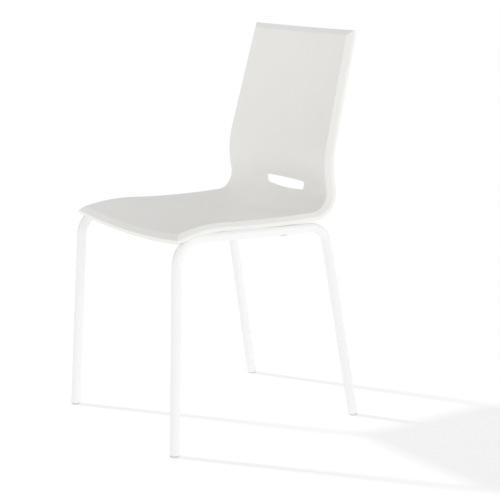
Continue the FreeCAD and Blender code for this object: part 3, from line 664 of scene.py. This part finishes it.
def make_bead(line, closed, width):
    """Weld bead: a rippled rope of this radius, laid along (point, out) pairs on the joint line.
    An open bead thins towards its ends."""
    bm = bmesh.new()
    sides, end_share, growth = 10, 0.35, 0.2
    travelled, rings = 0.0, []
    count = len(line)
    for k, (point, out) in enumerate(line):
        before = line[k - 1 if closed else max(k - 1, 0)][0]
        after = line[(k + 1) % count if closed else min(k + 1, count - 1)][0]
        tangent = (after - before).normalized()
        out = (out - tangent * out.dot(tangent)).normalized()
        over = tangent.cross(out)
        travelled += (point - before).length
        end_fade = 1.0 if closed else min(1.0, end_share + min(k, count - 1 - k) * growth)
        radius = width * end_fade * (1 + WELD_RIPPLE * math.cos(math.tau * travelled / RIPPLE_PITCH))
        rings.append(ring(bm, point, out, over, radius, sides))
    for first, second in zip(rings, rings[1:] + (rings[:1] if closed else [])):
        strip(bm, first, second)
    if not closed:
        cap(bm, rings[0], line[0][0])
        cap(bm, rings[-1], line[-1][0])
    return bm


def cross_weld(end, side):
    """Joint line round the end of a cross tube, on the rail."""
    middle = cross_axis(end)
    line = []
    steps = 110
    for k in range(steps):
        a = math.tau * k / steps
        radial = Y_AXIS * math.cos(a) + Z_AXIS * math.sin(a)
        line.append((on_rail(middle + radial * CROSS, side), radial - X_AXIS * side))
    return line


# ---------------------------------------------------------------- mounting tabs

TAB_PLACES = {"front": -84.0, "rear": 26.0}
TAB_INNER_X, TAB_WIDTH, TAB_PLATE, TAB_LIFT = 138.0, 30.0, 3.0, 4.5
TAB_CORNER, TAB_ROUNDING = 7.0, 0.5
SCREW_X, SCREW_HOLE = 153.0, 3.3


def tab_top(end):
    """Height of a tab's upper face."""
    return rail_point(1, TAB_PLACES[end]).z + TAB_LIFT + TAB_PLATE


def tab_outline(side, end, z):
    """Points round a tab at one height: rounded at the inner end and coped at the rail."""
    y = TAB_PLACES[end]
    low, high, steps = y - TAB_WIDTH / 2, y + TAB_WIDTH / 2, 8
    inner = rounded_corner((SCREW_X, low), (TAB_INNER_X, low), (TAB_INNER_X, y), TAB_CORNER, steps)
    inner += rounded_corner((TAB_INNER_X, y), (TAB_INNER_X, high), (SCREW_X, high), TAB_CORNER, steps)
    points = [Vector((side * p.x, p.y, z)) for p in inner]
    for k in range(steps + 1):
        points.append(on_rail(Vector((side * TAB_INNER_X, high - TAB_WIDTH * k / steps, z)), side))
    return points


def make_tab(end, side):
    """Plate with a round hole: outline and hole joined by rings of faces."""
    bm = bmesh.new()
    top = tab_top(end)
    levels = []
    for z in (top - TAB_PLATE, top):
        outline = tab_outline(side, end, z)
        hole = Vector((side * SCREW_X, TAB_PLACES[end], z))
        outer = [bm.verts.new(p) for p in outline]
        rim = [bm.verts.new(hole + (p - hole).normalized() * SCREW_HOLE) for p in outline]
        between = [bm.verts.new(a.co.lerp(b.co, 0.5)) for a, b in zip(outer, rim)]
        strip(bm, outer, between)
        strip(bm, between, rim)
        levels.append((outer, rim))
    (low_outer, low_rim), (top_outer, top_rim) = levels
    strip(bm, low_outer, top_outer)
    strip(bm, low_rim, top_rim)
    for ring in (low_outer, top_outer, low_rim, top_rim):
        mark(bm, ring)
    return bm


def tab_weld(end, side, up):
    """Joint line of a tab's upper (up 1) or lower (up -1) edge on the rail, short of its corners."""
    y, half, steps = TAB_PLACES[end], TAB_WIDTH / 2 - 1, 48
    z = tab_top(end) - TAB_PLATE * (1 - up) / 2
    line = []
    for k in range(steps + 1):
        start = Vector((side * TAB_INNER_X, y - half + 2 * half * k / steps, z))
        line.append((on_rail(start, side), Z_AXIS * up - X_AXIS * side))
    return line


# ---------------------------------------------------------------- screws, washers and inserts

HEAD_RADIUS, HEAD_HEIGHT, SHANK_RADIUS, SHANK_LENGTH = 5.5, 3.6, 3.0, 12.0
SOCKET_FLATS, SOCKET_DEPTH = 4.0, 2.2
WASHER_RADIUS, WASHER_THICKNESS = 7.0, 1.2
INSERT_RADIUS, INSERT_LENGTH, INSERT_GROOVE = 4.5, 8.5, 0.5
THREAD_START, THREAD_TURNS, THREAD_PITCH, THREAD_DEPTH = 0.6, 11, 1.0, 0.32
BOSS_RADIUS, BOSS_HEIGHT, BOSS_BEVEL = 9.5, 11.0, 0.6


def under_head(spot):
    """Where a screw's head meets its washer."""
    return spot - Z_AXIS * (TAB_PLATE + WASHER_THICKNESS)


def make_screw(bm, spot):
    """Pan-head screw, head downwards, with a hexagon socket. Its thread is drawn as plain rings."""
    seat, base = under_head(spot), -HEAD_HEIGHT
    around, flats, socket_cone = AROUND, 6, 0.5
    corners = ring(bm, seat + Z_AXIS * base, X_AXIS, Y_AXIS, SOCKET_FLATS / math.sqrt(3), flats)
    deep = [bm.verts.new(v.co + Z_AXIS * SOCKET_DEPTH) for v in corners]
    strip(bm, corners, deep)
    cap(bm, deep, seat + Z_AXIS * (base + SOCKET_DEPTH + socket_cone))
    # share of the head's radius, height above its end
    crown = [(0.66, 0.0), (0.78, 0.12), (0.89, 0.45), (0.97, 1.05), (1.0, 1.7)]
    rim, tip = 0.25, 0.7
    profile = [(HEAD_RADIUS * share, base + rise) for share, rise in crown]
    profile += [(HEAD_RADIUS, -rim), (HEAD_RADIUS - rim, 0.0), (SHANK_RADIUS, 0.0)]
    for k in range(THREAD_TURNS):
        at = THREAD_START + THREAD_PITCH * k
        profile += [(SHANK_RADIUS - THREAD_DEPTH, at), (SHANK_RADIUS, at + THREAD_PITCH / 2)]
    profile += [(SHANK_RADIUS - tip, SHANK_LENGTH), (0, SHANK_LENGTH)]
    first = lathe(bm, seat, Z_AXIS, profile, closed=False, side=X_AXIS, count=around)[0]
    per_flat = around // flats
    half = per_flat // 2
    for k in range(flats):
        arc = [first[(per_flat * k + j) % around] for j in range(per_flat + 1)]
        a, b = corners[k], corners[(k + 1) % flats]
        for p, q in zip(arc[:half], arc[1:half + 1]):
            bm.faces.new((a, p, q))
        for p, q in zip(arc[half:], arc[half + 1:]):
            bm.faces.new((b, p, q))
        bm.faces.new((a, arc[half], b))


def screw_spots():
    """Axis of every seat screw, at the height of its tab's upper face."""
    return [Vector((side * SCREW_X, TAB_PLACES[end], tab_top(end)))
            for end in TAB_PLACES for side in SIDES.values()]


def gathered(make):
    """One mesh with the same fastener at every screw."""
    bm = bmesh.new()
    for spot in screw_spots():
        make(bm, spot)
    return bm


def make_washer(bm, spot):
    """Flat ring with bevelled edges."""
    edge = 0.25
    lathe(bm, under_head(spot), Z_AXIS,
          [(SCREW_HOLE, edge), (SCREW_HOLE + edge, 0), (WASHER_RADIUS - edge, 0), (WASHER_RADIUS, edge),
           (WASHER_RADIUS, WASHER_THICKNESS - edge), (WASHER_RADIUS - edge, WASHER_THICKNESS),
           (SCREW_HOLE + edge, WASHER_THICKNESS), (SCREW_HOLE, WASHER_THICKNESS - edge)])


def make_insert(bm, spot):
    """Sleeve with chamfered ends and two gripping grooves."""
    chamfer, clearance = 0.3, 0.05
    narrow, bore = INSERT_RADIUS - INSERT_GROOVE, SHANK_RADIUS + clearance
    profile = [(INSERT_RADIUS - 0.2, 0), (INSERT_RADIUS, 0.2)]
    for groove_start in (2.4, 5.3):
        profile += [(INSERT_RADIUS, groove_start), (narrow, groove_start + 0.4),
                    (narrow, groove_start + 1.5), (INSERT_RADIUS, groove_start + 1.9)]
    profile += [(INSERT_RADIUS, INSERT_LENGTH - chamfer), (INSERT_RADIUS - chamfer, INSERT_LENGTH),
                (bore + chamfer, INSERT_LENGTH), (bore, INSERT_LENGTH - chamfer),
                (bore, 0.4), (bore + 0.35, 0)]
    lathe(bm, spot, Z_AXIS, profile)


def make_boss(bm, spot):
    """Blind boss under the skin: chamfered foot, bevelled top and the insert's bore."""
    top, bore_top, step = BOSS_HEIGHT - 0.4, INSERT_LENGTH + 0.4, 0.4
    profile = [(BOSS_RADIUS - BOSS_BEVEL, 0), (BOSS_RADIUS, BOSS_BEVEL), (BOSS_RADIUS, BOSS_HEIGHT - 2.0),
               (BOSS_RADIUS - step, top), (0, top),
               (0, bore_top), (INSERT_RADIUS - step, bore_top), (INSERT_RADIUS, INSERT_LENGTH),
               (INSERT_RADIUS, 0.3), (INSERT_RADIUS + 0.3, 0)]
    lathe(bm, spot, Z_AXIS, profile)


# ---------------------------------------------------------------- glides and buffers

GLIDE_INSET, PLUG_GAP, PLUG_LENGTH, SOLE_ROUND = 0.5, 0.15, 22.0, 1.2
GLIDE_HEAD_FOOT = 2.2                   # where the head's side ends and its sole starts
GRIP_TOPS, GRIP_DEPTH = (23, 19, 15, 11), 0.35
BUFFER_Y, BUFFER_HALF_LENGTH, BUFFER_HALF_WIDTH = 50.0, 6.5, 5.5
BUFFER_PROUD, STEM_RADIUS, STEM_LENGTH = 2.2, 2.5, 9.0
CONTACT_GAP = 0.02                      # between the pad and the tube


def floor_point(point, rise):
    """Where the line along the leg through a point meets the floor."""
    return point - rise * (point.z / rise.z)


def make_glide(end, side):
    """Foot: a plug with grip rings in the tube, and a head cut flat by the floor."""
    bm = bmesh.new()
    foot, corner = (0, 1) if end == "front" else (3, 2)
    at = frame_point(side, FRAME_CORNERS[foot])
    rise = (frame_point(side, FRAME_CORNERS[corner]) - at).normalized()
    head, grip = TUBE - GLIDE_INSET, TUBE - TUBE_WALL - PLUG_GAP
    core, top = grip - GRIP_DEPTH, GLIDE_HEIGHT + PLUG_LENGTH
    profile = [(0, top), (grip - 1.2, top), (core, top - 1.4)]
    for height in GRIP_TOPS:
        profile += [(core, height), (grip, height - 1.2), (grip, height - 2.0), (core, height - 2.4)]
    profile += [(core, GLIDE_HEIGHT), (head, GLIDE_HEIGHT), (head, GLIDE_HEAD_FOOT)]
    lowest = lathe(bm, at, rise, profile, closed=False)[-1]
    middle = Vector((at.x, at.y, 0))
    row = lowest
    for turn in (0.2, 0.4, 0.6, 0.8, 1.0):
        angle = turn * math.pi / 2
        inset, left = SOLE_ROUND * (1 - math.cos(angle)), 1 - math.sin(angle)
        following = []
        for vertex in lowest:
            below = floor_point(vertex.co, rise)
            target = below + (middle - below).normalized() * inset
            height = min(SOLE_ROUND, vertex.co.z) * left
            following.append(bm.verts.new(target + rise * (height / rise.z)))
        strip(bm, row, following)
        row = following
    cap(bm, row, middle)
    return bm


def rounded(share, power):
    """1 in the middle of a span from -1 to 1, falling steeply to 0 at its ends."""
    return math.sqrt(max(0.0, 1 - abs(share) ** power))


def make_buffer(side):
    """Soft saddle pad under the rail with rounded ends, and its stem through the tube's wall."""
    bm = bmesh.new()
    centre, along = rail_point(side, BUFFER_Y), rail_direction(side)
    across = Z_AXIS.cross(along).normalized()
    up = along.cross(across)
    stations, wide = 16, 12
    contact = TUBE + CONTACT_GAP
    hold = math.asin(BUFFER_HALF_WIDTH / contact)
    rows = []
    for k in range(stations + 1):
        t = 2 * k / stations - 1
        thick = BUFFER_PROUD * (0.1 + 0.9 * rounded(t, 6))
        spread = hold * (0.72 + 0.28 * rounded(t, 4))
        shares = [2 * j / wide - 1 for j in range(wide + 1)]
        section = [(spread * u, contact + thick * (0.12 + 0.88 * rounded(u, 4))) for u in shares]
        section += [(-spread * u, contact) for u in shares]
        middle = centre + along * (t * BUFFER_HALF_LENGTH)
        rows.append([bm.verts.new(middle + (across * math.sin(a) - up * math.cos(a)) * r)
                     for a, r in section])
    for first, second in zip(rows, rows[1:]):
        strip(bm, first, second)
    for row in (rows[0], rows[-1]):
        half = len(row) // 2
        strip(bm, row[:half], row[half:][::-1], closed=False)
    frame_up = frame_axes(side)[2]
    waist, length = STEM_RADIUS - 0.1, STEM_LENGTH + 1
    stem = [(0, 0), (STEM_RADIUS, 0), (STEM_RADIUS, 3.4), (waist, 3.6), (waist, 5.0), (STEM_RADIUS, 5.4),
            (STEM_RADIUS * 0.55, length - 0.3), (STEM_RADIUS * 0.35, length), (0, length)]
    lathe(bm, centre - frame_up * (TUBE + 1), frame_up, stem, count=24)
    return bm


# ---------------------------------------------------------------- the pieces, on their CAD nodes

for name, side in SIDES.items():
    piece_of(make_leg_frame(side), f"{name}_frame_tube", [f"{name}_leg_frame"], "frame_paint",
             rounding=TUBE_END_ROUNDING)
    piece_of(make_buffer(side), f"{name}_buffer", [f"{name}_stacking_buffer"], "buffer_plastic")
for end in TAB_PLACES:
    piece_of(make_cross_tube(end), f"{end}_cross_tube_coped", [f"{end}_cross_tube"], "frame_paint")
    for name, side in SIDES.items():
        piece_of(make_tab(end, side), f"{end}_{name}_tab", [f"{end}_{name}_mounting_tab"], "frame_paint",
                 rounding=TAB_ROUNDING)
        piece_of(make_glide(end, side), f"{end}_{name}_foot", [f"{end}_{name}_glide"], "glide_nylon")
        bead = make_bead(cross_weld(end, side), True, CROSS_WELD)
        piece_of(bead, f"{end}_{name}_cross_weld", [], "frame_paint")
        for label, up in (("upper", 1), ("lower", -1)):
            bead = make_bead(tab_weld(end, side, up), False, TAB_WELD)
            piece_of(bead, f"{end}_{name}_{label}_tab_weld", [], "frame_paint")
piece_of(gathered(make_screw), "pan_head_screws", ["shell_screws"], "zinc_steel")
piece_of(gathered(make_washer), "plain_washers", ["screw_washers"], "zinc_steel")
piece_of(gathered(make_insert), "brass_inserts", ["threaded_inserts"], "brass")
piece_of(gathered(make_boss), "shell_bosses", [], "shell_plastic")


# ---------------------------------------------------------------- floor

FLOOR_SIZE = 120   # half side in metres


def floor_finish():
    """Plain pale floor that glows by itself, with a matt share for the shadows; clear from below."""
    material = bpy.data.materials.new("floor")
    tree, output = nodes_of(material)
    place = node(tree, "TexCoord")
    fine = node(tree, "TexNoise", {"Vector": place.outputs["Object"], "Scale": 300.0})
    bump = node(tree, "Bump", {"Height": fine.outputs["Fac"], "Distance": 0.00002})
    matt = node(tree, "BsdfDiffuse", {"Color": (FLOOR_COLOUR,) * 3 + (1,),
                                      "Normal": bump.outputs["Normal"]})
    glow = node(tree, "Emission", {"Color": (1, 1, 1, 1), "Strength": FLOOR_GLOW})
    both = node(tree, "AddShader")
    tree.links.new(matt.outputs["BSDF"], both.inputs[0])
    tree.links.new(glow.outputs["Emission"], both.inputs[1])
    clear = node(tree, "BsdfTransparent")
    seen = node(tree, "MixShader")
    tree.links.new(node(tree, "NewGeometry").outputs["Backfacing"], seen.inputs[0])
    tree.links.new(both.outputs["Shader"], seen.inputs[1])
    tree.links.new(clear.outputs["BSDF"], seen.inputs[2])
    tree.links.new(seen.outputs["Shader"], output.inputs["Surface"])
    return material


def make_floor():
    """Flat floor, the only thing that the sun lights."""
    bm = bmesh.new()
    bmesh.ops.create_grid(bm, x_segments=8, y_segments=8, size=FLOOR_SIZE)
    mesh = bpy.data.meshes.new("floor")
    bm.to_mesh(mesh)
    bm.free()
    floor = bpy.data.objects.new("floor", mesh)
    scene.collection.objects.link(floor)
    mesh.materials.append(floor_finish())
    sunlit.objects.link(floor)


make_floor()
for name, cad_node in frame["nodes"].items():
    slot = next(part["material_slot"] for part in frame["record"]["subparts"] if part["node"] == name)
    cad_node.data.materials.clear()
    cad_node.data.materials.append(FINISHES[slot])
